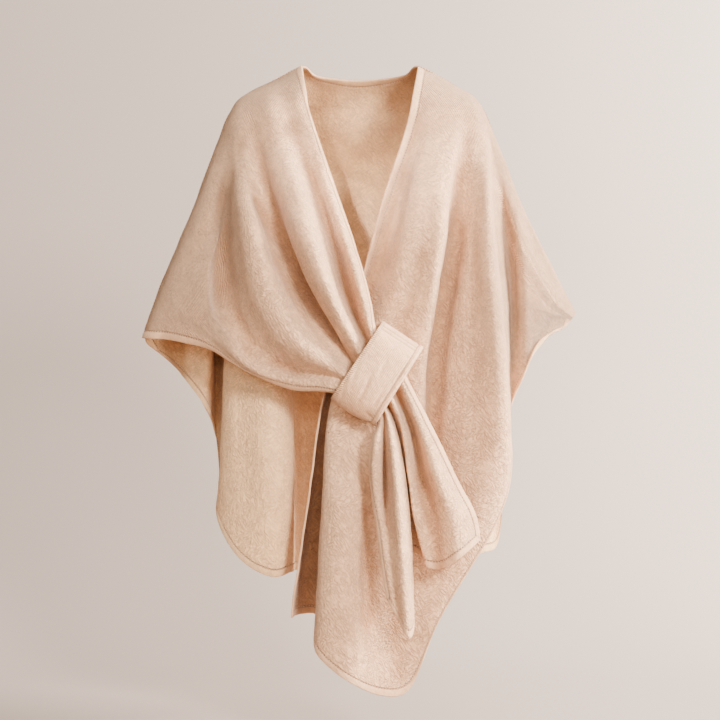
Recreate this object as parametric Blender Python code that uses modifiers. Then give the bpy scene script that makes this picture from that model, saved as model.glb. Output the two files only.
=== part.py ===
"""An open wrap cardigan of brushed double knit, worn, its right front drawn through a sewn loop.

Metres, +Z up, the front faces -Y. The origin lies on the shoulders, between the two neck points.
The tables hold millimetres: x across and z up as the front view shows them from SIGHT_MM away at
the height EYE_MM, and y the true depth, less than nothing towards the viewer.
"""

import bmesh
import bpy
import numpy as np

MM = 0.001
SIGHT_MM = 3600.0
EYE_MM = -492.0

WALL_MM = 2.2
LOOP_WALL_MM = 2.6
SEAM_MM = 0.7

NECK_HALF_MM = 98.0
NECK_DROP_MM = 20.0
NECK_BACK_MM = 68.0

ARC_ROWS = (2, 2, 2)
SHOULDER_ROWS = 3
BACK_ROWS = 21
LEFT_ROWS = 25
ABOVE_ROWS = 16
LOOP_ROWS = 6
TAIL_ROWS = 15
PITCH_MM = 26.0

# The line along which front and back meet, from the neck point over the shoulder to the end of the
# arm: x and z of the wearer's right side, then of the left side, at equal places along the line.
SHOULDER_LINES = (
    # right_x, right_z, left_x, left_z
    (-98, 5, 98, 3),
    (-127, -12, 135, -15),
    (-165, -30, 169, -34),
    (-186, -39, 186, -42),
    (-203, -51, 199, -54),
    (-215, -64, 208, -69),
    (-230, -98, 220, -98),
    (-252, -154, 237, -137),
    (-274, -216, 270, -225),
    (-304, -294, 304, -297),
    (-338, -368, 346, -374),
    (-368, -455, 367, -421),
)

# Fold lines of the back, from the wearer's right arm to the left: where each leaves the top edge, in
# mm from the centre back, then its stations (x, y, z), the last one on the hem.
BACK_FOLDS = (
    ("right_selvage", -640, (-361, 12, -462), (-340, 22, -478)),
    ("right_arm", -560, (-322, 42, -425), (-308, 40, -509)),
    ("right_arm_ridge", -440, (-275, 55, -330), (-256, 26, -466), (-265, 20, -566)),
    ("right_arm_hollow", -350, (-254, 70, -250), (-246, 86, -475), (-245, 74, -614)),
    ("flute_wall", -325, (-240, 66, -220), (-228, 68, -465), (-228, 54, -610), (-236, 44, -690)),
    ("flute_outer", -300, (-228, 62, -200), (-226, 12, -458), (-231, -6, -600), (-240, -8, -762)),
    ("flute_crest", -250, (-202, 78, -200), (-198, -8, -458), (-198, -34, -610), (-200, -46, -830)),
    ("flute_face", -205, (-168, 88, -200), (-156, -10, -458), (-152, -38, -610), (-149, -50, -858)),
    ("flute_inner", -160, (-136, 96, -200), (-130, 10, -458), (-127, -14, -610), (-120, -24, -850)),
    ("right_recess", -98, (-104, 104, -180), (-120, 98, -458), (-114, 92, -610), (-106, 88, -846)),
    ("right_back", -52, (-56, 120, -160), (-56, 122, -458), (-54, 114, -640), (-50, 108, -842)),
    ("centre_back", 0, (0, 124, -160), (0, 116, -458), (4, 106, -640), (4, 100, -838)),
    ("left_back", 52, (54, 120, -160), (50, 124, -458), (46, 118, -640), (44, 114, -838)),
    ("left_recess", 98, (104, 106, -180), (106, 96, -458), (100, 88, -640), (98, 80, -834)),
    ("left_flute", 170, (150, 94, -200), (162, 46, -458), (160, 16, -620), (158, 4, -836)),
    ("left_flute_outer", 225, (196, 80, -200), (206, 36, -458), (202, 8, -620), (206, -2, -818)),
    ("left_arm_hollow", 290, (228, 72, -230), (236, 70, -458), (233, 54, -600), (230, 24, -806)),
    ("left_arm_ridge", 390, (258, 58, -310), (260, 56, -430), (252, 50, -548)),
    ("left_arm", 510, (298, 46, -388), (270, 46, -486)),
    ("left_selvage", 612, (350, 14, -422), (322, 24, -440)),
)

# Fold lines of the left front, from the centre front edge to the arm: the place on the shoulder line,
# from 0 at the neck to 1 at the end of the arm, then the stations, the last one on the cut edge.
LEFT_FOLDS = (
    ("front_edge", 0.0, (81, -66, -86), (39, -98, -221), (7, -100, -340), (-29, -100, -450),
     (-63, -100, -559), (-87, -100, -728), (-110, -94, -880), (-116, -90, -928)),
    ("edge_wall", 0.03, (97, -64, -86), (58, -84, -221), (24, -80, -340), (-16, -78, -450),
     (-55, -68, -559), (-80, -34, -728), (-97, -24, -880), (-98, -22, -921)),
    ("edge_hollow", 0.06, (106, -66, -86), (69, -88, -221), (38, -84, -340), (-4, -80, -450),
     (-46, -68, -559), (-64, -34, -728), (-74, -24, -880), (-76, -22, -921)),
    ("column_side", 0.09, (120, -68, -86), (86, -116, -221), (66, -116, -340), (20, -104, -450),
     (-44, -106, -559), (-60, -122, -728), (-69, -124, -897), (-73, -122, -988)),
    ("column_face", 0.125, (144, -68, -86), (120, -124, -221), (100, -122, -340), (66, -111, -450),
     (4, -106, -559), (-22, -138, -728), (-30, -144, -897), (-22, -140, -1034)),
    ("inner_crest", 0.16, (166, -66, -86), (147, -120, -221), (129, -132, -340), (121, -118, -450),
     (104, -108, -559), (48, -110, -728), (30, -110, -897), (40, -120, -1060)),
    ("inner_hollow", 0.195, (183, -62, -86), (164, -98, -221), (146, -92, -340), (137, -90, -450),
     (130, -86, -559), (108, -90, -728), (76, -98, -880), (78, -108, -1054)),
    ("side_face", 0.23, (196, -58, -86), (194, -94, -221), (186, -102, -340), (184, -106, -450),
     (184, -106, -559), (174, -106, -728), (134, -106, -933)),
    ("arm_crest", 0.27, (213, -48, -100), (217, -104, -221), (226, -124, -340), (237, -128, -450),
     (246, -124, -559), (250, -110, -668), (238, -98, -752)),
    ("arm_crest_back", 0.33, (222, -36, -130), (225, -62, -221), (236, -70, -340), (246, -76, -450),
     (250, -84, -559), (255, -76, -684)),
    ("arm_hollow", 0.43, (240, -34, -190), (250, -34, -290), (257, -36, -420), (256, -44, -572)),
    ("arm_face", 0.62, (280, -50, -310), (284, -56, -410), (277, -60, -520)),
    ("arm_outer", 0.82, (320, -46, -400), (303, -52, -460)),
    ("selvage", 0.985, (354, -14, -428), (343, -22, -440)),
)

# Fold lines of the right front above the loop, from the centre front edge to the selvage.
RIGHT_FOLDS = (
    ("front_edge", 0.0, (-86, -56, -69), (-46, -98, -188), (-8, -120, -301), (17, -130, -387)),
    ("near_ridge", 0.04, (-92, -66, -90), (-52, -116, -213), (-20, -148, -306), (4, -160, -387)),
    ("near_hollow", 0.08, (-112, -64, -100), (-72, -98, -213), (-44, -110, -297), (-20, -116, -388)),
    ("wide_ridge", 0.13, (-140, -70, -112), (-104, -128, -213), (-79, -160, -297), (-46, -178, -388)),
    ("wide_side", 0.16, (-158, -62, -110), (-132, -98, -213), (-112, -120, -297), (-74, -142, -386)),
    ("tuck", 0.19, (-176, -52, -108), (-150, -70, -213), (-116, -76, -297), (-70, -90, -386)),
    ("tuck_side", 0.22, (-190, -52, -118), (-172, -82, -221), (-148, -98, -306), (-106, -112, -396)),
    ("low_ridge", 0.26, (-203, -56, -140), (-186, -102, -230), (-164, -132, -320), (-126, -150, -424),
     (-92, -156, -474)),
    ("shade", 0.36, (-220, -50, -180), (-222, -64, -289), (-212, -80, -388), (-168, -100, -478),
     (-106, -112, -508)),
    ("outer", 0.54, (-262, -52, -290), (-262, -80, -356), (-250, -96, -422), (-184, -110, -504),
     (-112, -126, -526)),
    ("near_hem", 0.78, (-322, -42, -404), (-300, -58, -428), (-262, -78, -456), (-188, -100, -510),
     (-116, -120, -535)),
    ("selvage", 1.0, (-330, -34, -457), (-296, -52, -463), (-254, -70, -474), (-186, -92, -513),
     (-118, -110, -541)),
)

# The same folds in the loop and below it: the places along the loop's length where each goes in and
# comes out, the depth in the loop, then the stations of the tail, the last one on the cut edge.
TAIL_FOLDS = (
    ("front_edge", 0.12, 0.37, -138, (120, -154, -602), (164, -152, -692), (196, -146, -757), (203, -142, -796)),
    ("near_ridge", 0.19, 0.45, -150, (100, -168, -602), (132, -178, -692), (156, -178, -757), (166, -174, -828)),
    ("near_hollow", 0.29, 0.59, -128, (87, -132, -606), (104, -136, -692), (124, -154, -770), (136, -154, -846)),
    ("wide_ridge", 0.42, 0.67, -156, (71, -160, -606), (83, -158, -692), (92, -156, -760), (114, -154, -842)),
    ("wide_side", 0.50, 0.715, -142, (68, -142, -608), (82, -134, -692), (97, -130, -765), (113, -132, -830)),
    ("tuck", 0.56, 0.745, -127, (62, -130, -610), (71, -124, -692), (80, -122, -762), (88, -124, -818)),
    ("tuck_side", 0.63, 0.78, -140, (60, -154, -612), (76, -156, -692), (86, -156, -790), (90, -156, -944)),
    ("low_ridge", 0.71, 0.81, -157, (51, -174, -616), (60, -190, -692), (68, -194, -790), (82, -184, -962)),
    ("shade", 0.775, 0.85, -148, (40, -148, -618), (42, -138, -692), (47, -162, -790), (66, -170, -932)),
    ("outer", 0.85, 0.90, -154, (35, -168, -622), (32, -166, -690), (38, -166, -786), (58, -168, -918)),
    ("near_hem", 0.90, 0.93, -154, (27, -172, -626), (23, -168, -688), (33, -162, -784), (52, -164, -908)),
    ("selvage", 0.935, 0.955, -142, (19, -156, -632), (17, -150, -686), (28, -154, -780), (45, -160, -897)),
)

# The belt loop, a strip sewn to the left front at its top end: its corners in the front view.
LOOP_TOP = ((38, -427), (106, -472))
LOOP_FOOT = ((-49, -556), (26, -600))
# Half of its ring, from the sewn end to the turned foot: the share of the length, then the depths of
# the outer layer and of the layer behind the gathers.
LOOP_RING = (
    # share, front_y, behind_y
    (0.00, -128.5, -122),
    (0.05, -140, -119.5),
    (0.12, -154, -118),
    (0.25, -163, -118),
    (0.45, -167, -118),
    (0.65, -168, -118),
    (0.85, -167, -119),
    (0.94, -162, -124),
    (0.99, -153, -133),
)
LOOP_FOOT_Y = -142
LOOP_FRONT_Y = -168
LOOP_BEHIND_Y = -118
LOOP_BOW_MM = 2.5
LOOP_COLUMNS = 8

# Turns, in degrees, of the quarter ellipse in which a fold leaves the shoulder line.
ARC_TURNS = (0, 30, 60)

# Colours of the same heathered knit: the outer panels, the back, seen more in shade, and the loop.
PANEL_COLOUR = (0.66, 0.55, 0.47, 1.0)
BACK_COLOUR = (0.63, 0.51, 0.42, 1.0)
LOOP_COLOUR = (0.68, 0.57, 0.49, 1.0)
KNIT_ROUGHNESS = 0.95
SHEEN = 0.4


def placed(x, y, z):
    """The true place, in mm, of what the front view shows at (x, z) when it lies at the depth y."""
    near = 1 + np.asarray(y, float) / SIGHT_MM
    return np.stack([x * near, y + 0 * near, EYE_MM + (z - EYE_MM) * near], axis=-1)


def through(knots, steps):
    """A smooth line through the knots, rows of points on the second last axis, in so many steps each."""
    knots = np.asarray(knots, float)
    chord = np.diff(knots, axis=-2)
    gap = np.sqrt(np.linalg.norm(chord, axis=-1, keepdims=True)) + 1e-6
    rate = chord / gap
    early, late = gap[..., :-1, :], gap[..., 1:, :]
    inner = (rate[..., :-1, :] * late + rate[..., 1:, :] * early) / (early + late)
    first = 1.5 * rate[..., :1, :] - 0.5 * inner[..., :1, :]
    last = 1.5 * rate[..., -1:, :] - 0.5 * inner[..., -1:, :]
    slope = np.concatenate([first, inner, last], axis=-2)
    found = [knots[..., :1, :]]
    for i, count in enumerate(steps):
        t = np.arange(1, count + 1)[:, None] / count
        a, b = knots[..., i : i + 1, :], knots[..., i + 1 : i + 2, :]
        pull_a = slope[..., i : i + 1, :] * gap[..., i : i + 1, :]
        pull_b = slope[..., i + 1 : i + 2, :] * gap[..., i : i + 1, :]
        found.append(
            (2 * t**3 - 3 * t**2 + 1) * a
            + (t**3 - 2 * t**2 + t) * pull_a
            + (3 * t**2 - 2 * t**3) * b
            + (t**3 - t**2) * pull_b
        )
    return np.concatenate(found, axis=-2)


def evenly(knots, anchors, rows):
    """Points along the smooth line through the knots, in even rows between one anchor knot and the next."""
    fine = 24
    line = through(knots, [fine] * (len(knots) - 1))
    reach = np.concatenate([[0], np.cumsum(np.linalg.norm(np.diff(line, axis=0), axis=1))])
    wanted = [np.zeros(1)]
    for low, high, count in zip(anchors[:-1], anchors[1:], rows):
        ends = reach[low * fine], reach[high * fine]
        wanted.append(np.linspace(*ends, count + 1)[1:])
    wanted = np.concatenate(wanted)
    return np.stack([np.interp(wanted, reach, line[:, axis]) for axis in range(3)], axis=1)


def on_shoulder(side, share):
    """(x, z) in the front view of a place on the shoulder line, 0 at the neck and 1 at the arm's end."""
    lines = np.array(SHOULDER_LINES, float)
    line = lines[:, :2] if side == "right" else lines[:, 2:]
    reach = np.concatenate([[0], np.cumsum(np.linalg.norm(np.diff(line, axis=0), axis=1))])
    return [np.interp(share * reach[-1], reach, line[:, axis]) for axis in range(2)]


def shoulder_length(side):
    lines = np.array(SHOULDER_LINES, float)
    line = lines[:, :2] if side == "right" else lines[:, 2:]
    return np.linalg.norm(np.diff(line, axis=0), axis=1).sum()


def over_shoulder(side, share, y, station):
    """The start of a fold: it leaves the shoulder line level and turns down in a quarter of an ellipse."""
    x, z = on_shoulder(side, share)
    foot_x, foot_y, foot_z = station
    found = []
    for angle in np.radians(ARC_TURNS):
        drop = 1 - np.cos(angle)
        found.append(
            placed(
                x + (foot_x - x) * drop,
                y + (foot_y - y) * np.sin(angle),
                z + (foot_z - z) * drop,
            )
        )
    return found


def over_neck(along, station):
    """The start of a fold of the back: steep at the neck's middle, as over the shoulder at its ends."""
    turn = along / NECK_HALF_MM * np.pi / 2
    x = NECK_HALF_MM * np.sin(turn)
    z = -NECK_DROP_MM + (NECK_DROP_MM + 4) * (1 - np.cos(turn))
    y = SEAM_MM / 2 + NECK_BACK_MM * np.cos(turn)
    foot_x, foot_y, foot_z = station
    found = []
    for angle in np.radians(ARC_TURNS):
        drop = 1 - np.cos(angle)
        back = drop**0.7 + (np.sin(angle) - drop**0.7) * np.sin(turn) ** 2
        found.append(
            placed(x + (foot_x - x) * drop, y + (foot_y - y) * back, z + (foot_z - z) * drop)
        )
    return found


def across(folds):
    """The panel's grid of points, from its fold lines, with columns enough for the cloth between two."""
    folds = np.stack(folds, axis=1)
    widths = np.linalg.norm(np.diff(folds, axis=1), axis=2)
    steps = np.maximum(2, np.round(np.percentile(widths, 75, axis=0) / PITCH_MM)).astype(int)
    return through(folds, steps)


def back_grid():
    folds = []
    for _, along, *stations in BACK_FOLDS:
        if abs(along) <= NECK_HALF_MM:
            start = over_neck(along, stations[0])
        else:
            side = "right" if along < 0 else "left"
            share = (abs(along) - NECK_HALF_MM) / shoulder_length(side)
            start = over_shoulder(side, share, SEAM_MM / 2, stations[0])
        knots = start + [placed(*station) for station in stations]
        folds.append(evenly(knots, (0, 1, 2, 3, len(knots) - 1), (*ARC_ROWS, BACK_ROWS)))
    grid = across(folds)
    grid[:SHOULDER_ROWS, :, 1] = np.maximum(grid[:SHOULDER_ROWS, :, 1], SEAM_MM / 2)
    return grid


def left_front_grid():
    folds = []
    for _, share, *stations in LEFT_FOLDS:
        start = over_shoulder("left", share, -SEAM_MM / 2, stations[0])
        knots = start + [placed(*station) for station in stations]
        folds.append(evenly(knots, (0, 1, 2, 3, len(knots) - 1), (*ARC_ROWS, LEFT_ROWS)))
    return across(folds)


def in_loop(share, y, over):
    """A place in the loop: a share of its length from the top end, and of its width from the entry."""
    top = np.array(LOOP_TOP, float)
    foot = np.array(LOOP_FOOT, float)
    near = top[0] + (foot[0] - top[0]) * share
    far = top[1] + (foot[1] - top[1]) * share
    x, z = near + (far - near) * over
    forward = np.clip((LOOP_BEHIND_Y - y) / (LOOP_BEHIND_Y - LOOP_FRONT_Y), 0, 1)
    bow = LOOP_BOW_MM * (2 * over - 1) ** 2
    return placed(x, y + forward * bow, z)


def right_front_grid():
    folds = []
    for above, below in zip(RIGHT_FOLDS, TAIL_FOLDS):
        _, share, *stations = above
        _, goes_in, comes_out, y, *tail = below
        start = over_shoulder("right", share, -SEAM_MM / 2, stations[0])
        knots = start + [placed(*station) for station in stations]
        into = len(knots)
        for over in (0.0, 0.5, 1.0):
            knots.append(in_loop(goes_in + (comes_out - goes_in) * over, y, over))
        knots += [placed(*station) for station in tail]
        anchors = (0, 1, 2, 3, into, into + 2, len(knots) - 1)
        folds.append(evenly(knots, anchors, (*ARC_ROWS, ABOVE_ROWS, LOOP_ROWS, TAIL_ROWS)))
    return across(folds)


def loop_grid():
    """The loop's ring as a closed band, carried over the strip's width with a slight bow."""
    ring = [(share, front) for share, front, _ in LOOP_RING]
    ring.append((1.0, LOOP_FOOT_Y))
    ring += [(share, behind) for share, _, behind in reversed(LOOP_RING)]
    overs = np.linspace(0, 1, LOOP_COLUMNS + 1)
    return np.array([[in_loop(share, y, over) for share, y in ring] for over in overs])


def knit(name, colour):
    material = bpy.data.materials.new(name)
    material.use_nodes = True
    shader = material.node_tree.nodes["Principled BSDF"]
    shader.inputs["Base Color"].default_value = colour
    shader.inputs["Roughness"].default_value = KNIT_ROUGHNESS
    shader.inputs["Sheen Weight"].default_value = SHEEN
    return material


def cloth(name, grid, wall, closed, colour, collection):
    """A node: the grid as one open sheet, or a band closed across its columns, given a wall."""
    rows, columns, _ = grid.shape
    mesh = bpy.data.meshes.new(name)
    build = bmesh.new()
    points = [[build.verts.new(point * MM) for point in row] for row in grid]
    for i in range(rows - 1):
        for j in range(columns if closed else columns - 1):
            k = (j + 1) % columns
            build.faces.new((points[i][j], points[i + 1][j], points[i + 1][k], points[i][k]))
    bmesh.ops.recalc_face_normals(build, faces=build.faces)
    build.to_mesh(mesh)
    build.free()
    mesh.shade_smooth()
    mesh.materials.append(knit(f"{name}_knit", colour))
    node = bpy.data.objects.new(name, mesh)
    collection.objects.link(node)
    thick = node.modifiers.new("wall", "SOLIDIFY")
    thick.thickness = wall * MM
    thick.offset = 0.0
    return node


def main():
    for old in list(bpy.data.objects):
        bpy.data.objects.remove(old, do_unlink=True)
    collection = bpy.data.collections.new("belted_cardigan")
    bpy.context.scene.collection.children.link(collection)
    cloth("back", back_grid(), WALL_MM, False, BACK_COLOUR, collection)
    cloth("left_front", left_front_grid(), WALL_MM, False, PANEL_COLOUR, collection)
    cloth("right_front", right_front_grid(), WALL_MM, False, PANEL_COLOUR, collection)
    cloth("belt_loop", loop_grid(), LOOP_WALL_MM, True, LOOP_COLOUR, collection)


main()
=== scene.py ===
"""Looks of a belted wrap cardigan: brushed heathered knit, its hems, top stitching, loop and stage.

Laid out as an add-on whose panel lists one operator for each piece. Tables hold millimetres as the
front view shows them from SIGHT_MM away at the height EYE_MM, with y the true depth, less than
nothing towards the viewer. Everything that is built is in metres, in the frame of the solids.
"""

import math

import bpy
import numpy as np
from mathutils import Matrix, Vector, noise


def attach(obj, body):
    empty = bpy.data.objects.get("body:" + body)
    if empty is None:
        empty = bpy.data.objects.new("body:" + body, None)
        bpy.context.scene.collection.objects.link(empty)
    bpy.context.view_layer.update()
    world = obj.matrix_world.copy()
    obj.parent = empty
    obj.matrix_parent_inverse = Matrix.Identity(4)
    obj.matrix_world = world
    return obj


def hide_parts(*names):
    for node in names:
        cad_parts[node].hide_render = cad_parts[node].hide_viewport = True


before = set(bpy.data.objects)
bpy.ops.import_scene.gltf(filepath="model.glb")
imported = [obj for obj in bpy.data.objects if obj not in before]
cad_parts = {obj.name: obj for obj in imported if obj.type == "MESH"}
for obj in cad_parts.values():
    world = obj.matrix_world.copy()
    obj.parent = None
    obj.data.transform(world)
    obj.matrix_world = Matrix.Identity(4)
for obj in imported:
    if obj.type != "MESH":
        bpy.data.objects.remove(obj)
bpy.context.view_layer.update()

bl_info = {
    "name": "Belted wrap cardigan",
    "version": (1, 0, 0),
    "blender": (4, 5, 0),
    "location": "View3D > Sidebar > Cardigan",
    "description": "Builds a worn wrap cardigan of brushed knit around its solids",
    "category": "Add Mesh",
}

MM = 0.001

SIGHT_MM = 3600.0
EYE_MM = -492.0

WALL_MM = 2.2
LOOP_WALL_MM = 2.6
SEAM_MM = 0.7

NECK_HALF_MM = 98.0
NECK_DROP_MM = 20.0
NECK_BACK_MM = 68.0

ARC_ROWS = (2, 2, 2)
SHOULDER_ROWS = 3
BACK_ROWS = 21
LEFT_ROWS = 25
ABOVE_ROWS = 16
LOOP_ROWS = 6
TAIL_ROWS = 15
PITCH_MM = 26.0

# The line along which front and back meet, from the neck point over the shoulder to the end of the
# arm: x and z of the wearer's right side, then of the left side, at equal places along the line.
SHOULDER_LINES = (
    # right_x, right_z, left_x, left_z
    (-98, 5, 98, 3),
    (-127, -12, 135, -15),
    (-165, -30, 169, -34),
    (-186, -39, 186, -42),
    (-203, -51, 199, -54),
    (-215, -64, 208, -69),
    (-230, -98, 220, -98),
    (-252, -154, 237, -137),
    (-274, -216, 270, -225),
    (-304, -294, 304, -297),
    (-338, -368, 346, -374),
    (-368, -455, 367, -421),
)

# Fold lines of the back, from the wearer's right arm to the left: where each leaves the top edge, in
# mm from the centre back, then its stations (x, y, z), the last one on the hem.
BACK_FOLDS = (
    ("right_selvage", -640, (-361, 12, -462), (-340, 22, -478)),
    ("right_arm", -560, (-322, 42, -425), (-308, 40, -509)),
    ("right_arm_ridge", -440, (-275, 55, -330), (-256, 26, -466), (-265, 20, -566)),
    ("right_arm_hollow", -350, (-254, 70, -250), (-246, 86, -475), (-245, 74, -614)),
    ("flute_wall", -325, (-240, 66, -220), (-228, 68, -465), (-228, 54, -610), (-236, 44, -690)),
    ("flute_outer", -300, (-228, 62, -200), (-226, 12, -458), (-231, -6, -600), (-240, -8, -762)),
    ("flute_crest", -250, (-202, 78, -200), (-198, -8, -458), (-198, -34, -610), (-200, -46, -830)),
    ("flute_face", -205, (-168, 88, -200), (-156, -10, -458), (-152, -38, -610), (-149, -50, -858)),
    ("flute_inner", -160, (-136, 96, -200), (-130, 10, -458), (-127, -14, -610), (-120, -24, -850)),
    ("right_recess", -98, (-104, 104, -180), (-120, 98, -458), (-114, 92, -610), (-106, 88, -846)),
    ("right_back", -52, (-56, 120, -160), (-56, 122, -458), (-54, 114, -640), (-50, 108, -842)),
    ("centre_back", 0, (0, 124, -160), (0, 116, -458), (4, 106, -640), (4, 100, -838)),
    ("left_back", 52, (54, 120, -160), (50, 124, -458), (46, 118, -640), (44, 114, -838)),
    ("left_recess", 98, (104, 106, -180), (106, 96, -458), (100, 88, -640), (98, 80, -834)),
    ("left_flute", 170, (150, 94, -200), (162, 46, -458), (160, 16, -620), (158, 4, -836)),
    ("left_flute_outer", 225, (196, 80, -200), (206, 36, -458), (202, 8, -620), (206, -2, -818)),
    ("left_arm_hollow", 290, (228, 72, -230), (236, 70, -458), (233, 54, -600), (230, 24, -806)),
    ("left_arm_ridge", 390, (258, 58, -310), (260, 56, -430), (252, 50, -548)),
    ("left_arm", 510, (298, 46, -388), (270, 46, -486)),
    ("left_selvage", 612, (350, 14, -422), (322, 24, -440)),
)

# Fold lines of the left front, from the centre front edge to the arm: the place on the shoulder line,
# from 0 at the neck to 1 at the end of the arm, then the stations, the last one on the cut edge.
LEFT_FOLDS = (
    ("front_edge", 0.0, (81, -66, -86), (39, -98, -221), (7, -100, -340), (-29, -100, -450),
     (-63, -100, -559), (-87, -100, -728), (-110, -94, -880), (-116, -90, -928)),
    ("edge_wall", 0.03, (97, -64, -86), (58, -84, -221), (24, -80, -340), (-16, -78, -450),
     (-55, -68, -559), (-80, -34, -728), (-97, -24, -880), (-98, -22, -921)),
    ("edge_hollow", 0.06, (106, -66, -86), (69, -88, -221), (38, -84, -340), (-4, -80, -450),
     (-46, -68, -559), (-64, -34, -728), (-74, -24, -880), (-76, -22, -921)),
    ("column_side", 0.09, (120, -68, -86), (86, -116, -221), (66, -116, -340), (20, -104, -450),
     (-44, -106, -559), (-60, -122, -728), (-69, -124, -897), (-73, -122, -988)),
    ("column_face", 0.125, (144, -68, -86), (120, -124, -221), (100, -122, -340), (66, -111, -450),
     (4, -106, -559), (-22, -138, -728), (-30, -144, -897), (-22, -140, -1034)),
    ("inner_crest", 0.16, (166, -66, -86), (147, -120, -221), (129, -132, -340), (121, -118, -450),
     (104, -108, -559), (48, -110, -728), (30, -110, -897), (40, -120, -1060)),
    ("inner_hollow", 0.195, (183, -62, -86), (164, -98, -221), (146, -92, -340), (137, -90, -450),
     (130, -86, -559), (108, -90, -728), (76, -98, -880), (78, -108, -1054)),
    ("side_face", 0.23, (196, -58, -86), (194, -94, -221), (186, -102, -340), (184, -106, -450),
     (184, -106, -559), (174, -106, -728), (134, -106, -933)),
    ("arm_crest", 0.27, (213, -48, -100), (217, -104, -221), (226, -124, -340), (237, -128, -450),
     (246, -124, -559), (250, -110, -668), (238, -98, -752)),
    ("arm_crest_back", 0.33, (222, -36, -130), (225, -62, -221), (236, -70, -340), (246, -76, -450),
     (250, -84, -559), (255, -76, -684)),
    ("arm_hollow", 0.43, (240, -34, -190), (250, -34, -290), (257, -36, -420), (256, -44, -572)),
    ("arm_face", 0.62, (280, -50, -310), (284, -56, -410), (277, -60, -520)),
    ("arm_outer", 0.82, (320, -46, -400), (303, -52, -460)),
    ("selvage", 0.985, (354, -14, -428), (343, -22, -440)),
)

# Fold lines of the right front above the loop, from the centre front edge to the selvage.
RIGHT_FOLDS = (
    ("front_edge", 0.0, (-86, -56, -69), (-46, -98, -188), (-8, -120, -301), (17, -130, -387)),
    ("near_ridge", 0.04, (-92, -66, -90), (-52, -116, -213), (-20, -148, -306), (4, -160, -387)),
    ("near_hollow", 0.08, (-112, -64, -100), (-72, -98, -213), (-44, -110, -297),
     (-20, -116, -388)),
    ("wide_ridge", 0.13, (-140, -70, -112), (-104, -128, -213), (-79, -160, -297),
     (-46, -178, -388)),
    ("wide_side", 0.16, (-158, -62, -110), (-132, -98, -213), (-112, -120, -297),
     (-74, -142, -386)),
    ("tuck", 0.19, (-176, -52, -108), (-150, -70, -213), (-116, -76, -297), (-70, -90, -386)),
    ("tuck_side", 0.22, (-190, -52, -118), (-172, -82, -221), (-148, -98, -306),
     (-106, -112, -396)),
    ("low_ridge", 0.26, (-203, -56, -140), (-186, -102, -230), (-164, -132, -320),
     (-126, -150, -424),
     (-92, -156, -474)),
    ("shade", 0.36, (-220, -50, -180), (-222, -64, -289), (-212, -80, -388), (-168, -100, -478),
     (-106, -112, -508)),
    ("outer", 0.54, (-262, -52, -290), (-262, -80, -356), (-250, -96, -422), (-184, -110, -504),
     (-112, -126, -526)),
    ("near_hem", 0.78, (-322, -42, -404), (-300, -58, -428), (-262, -78, -456), (-188, -100, -510),
     (-116, -120, -535)),
    ("selvage", 1.0, (-330, -34, -457), (-296, -52, -463), (-254, -70, -474), (-186, -92, -513),
     (-118, -110, -541)),
)

# The same folds in the loop and below it: the places along the loop's length where each goes in and
# comes out, the depth in the loop, then the stations of the tail, the last one on the cut edge.
TAIL_FOLDS = (
    ("front_edge", 0.12, 0.37, -138, (120, -154, -602), (164, -152, -692), (196, -146, -757),
     (203, -142, -796)),
    ("near_ridge", 0.19, 0.45, -150, (100, -168, -602), (132, -178, -692), (156, -178, -757),
     (166, -174, -828)),
    ("near_hollow", 0.29, 0.59, -128, (87, -132, -606), (104, -136, -692), (124, -154, -770),
     (136, -154, -846)),
    ("wide_ridge", 0.42, 0.67, -156, (71, -160, -606), (83, -158, -692), (92, -156, -760),
     (114, -154, -842)),
    ("wide_side", 0.50, 0.715, -142, (68, -142, -608), (82, -134, -692), (97, -130, -765),
     (113, -132, -830)),
    ("tuck", 0.56, 0.745, -127, (62, -130, -610), (71, -124, -692), (80, -122, -762),
     (88, -124, -818)),
    ("tuck_side", 0.63, 0.78, -140, (60, -154, -612), (76, -156, -692), (86, -156, -790),
     (90, -156, -944)),
    ("low_ridge", 0.71, 0.81, -157, (51, -174, -616), (60, -190, -692), (68, -194, -790),
     (82, -184, -962)),
    ("shade", 0.775, 0.85, -148, (40, -148, -618), (42, -138, -692), (47, -162, -790),
     (66, -170, -932)),
    ("outer", 0.85, 0.90, -154, (35, -168, -622), (32, -166, -690), (38, -166, -786),
     (58, -168, -918)),
    ("near_hem", 0.90, 0.93, -154, (27, -172, -626), (23, -168, -688), (33, -162, -784),
     (52, -164, -908)),
    ("selvage", 0.935, 0.955, -142, (19, -156, -632), (17, -150, -686), (28, -154, -780),
     (45, -160, -897)),
)

# The belt loop, a strip sewn to the left front at its top end: its corners in the front view.
LOOP_TOP = ((38, -427), (106, -472))
LOOP_FOOT = ((-49, -556), (26, -600))
# Half of its ring, from the sewn end to the turned foot: the share of the length, then the depths of
# the outer layer and of the layer behind the gathers.
LOOP_RING = (
    # share, front_y, behind_y
    (0.00, -128.5, -122),
    (0.05, -140, -119.5),
    (0.12, -154, -118),
    (0.25, -163, -118),
    (0.45, -167, -118),
    (0.65, -168, -118),
    (0.85, -167, -119),
    (0.94, -162, -124),
    (0.99, -153, -133),
)
LOOP_FOOT_Y = -142
LOOP_FRONT_Y = -168
LOOP_BEHIND_Y = -118
LOOP_BOW_MM = 2.5
LOOP_COLUMNS = 8

# Turns, in degrees, of the quarter ellipse in which a fold leaves the shoulder line.
ARC_TURNS = (0, 30, 60)
# Steps from one knot to the next in which a line is measured.
FINE_STEPS = 24
# How many cells of the worn cloth stand for one cell of its solid, each way.
FINER = 5
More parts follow.
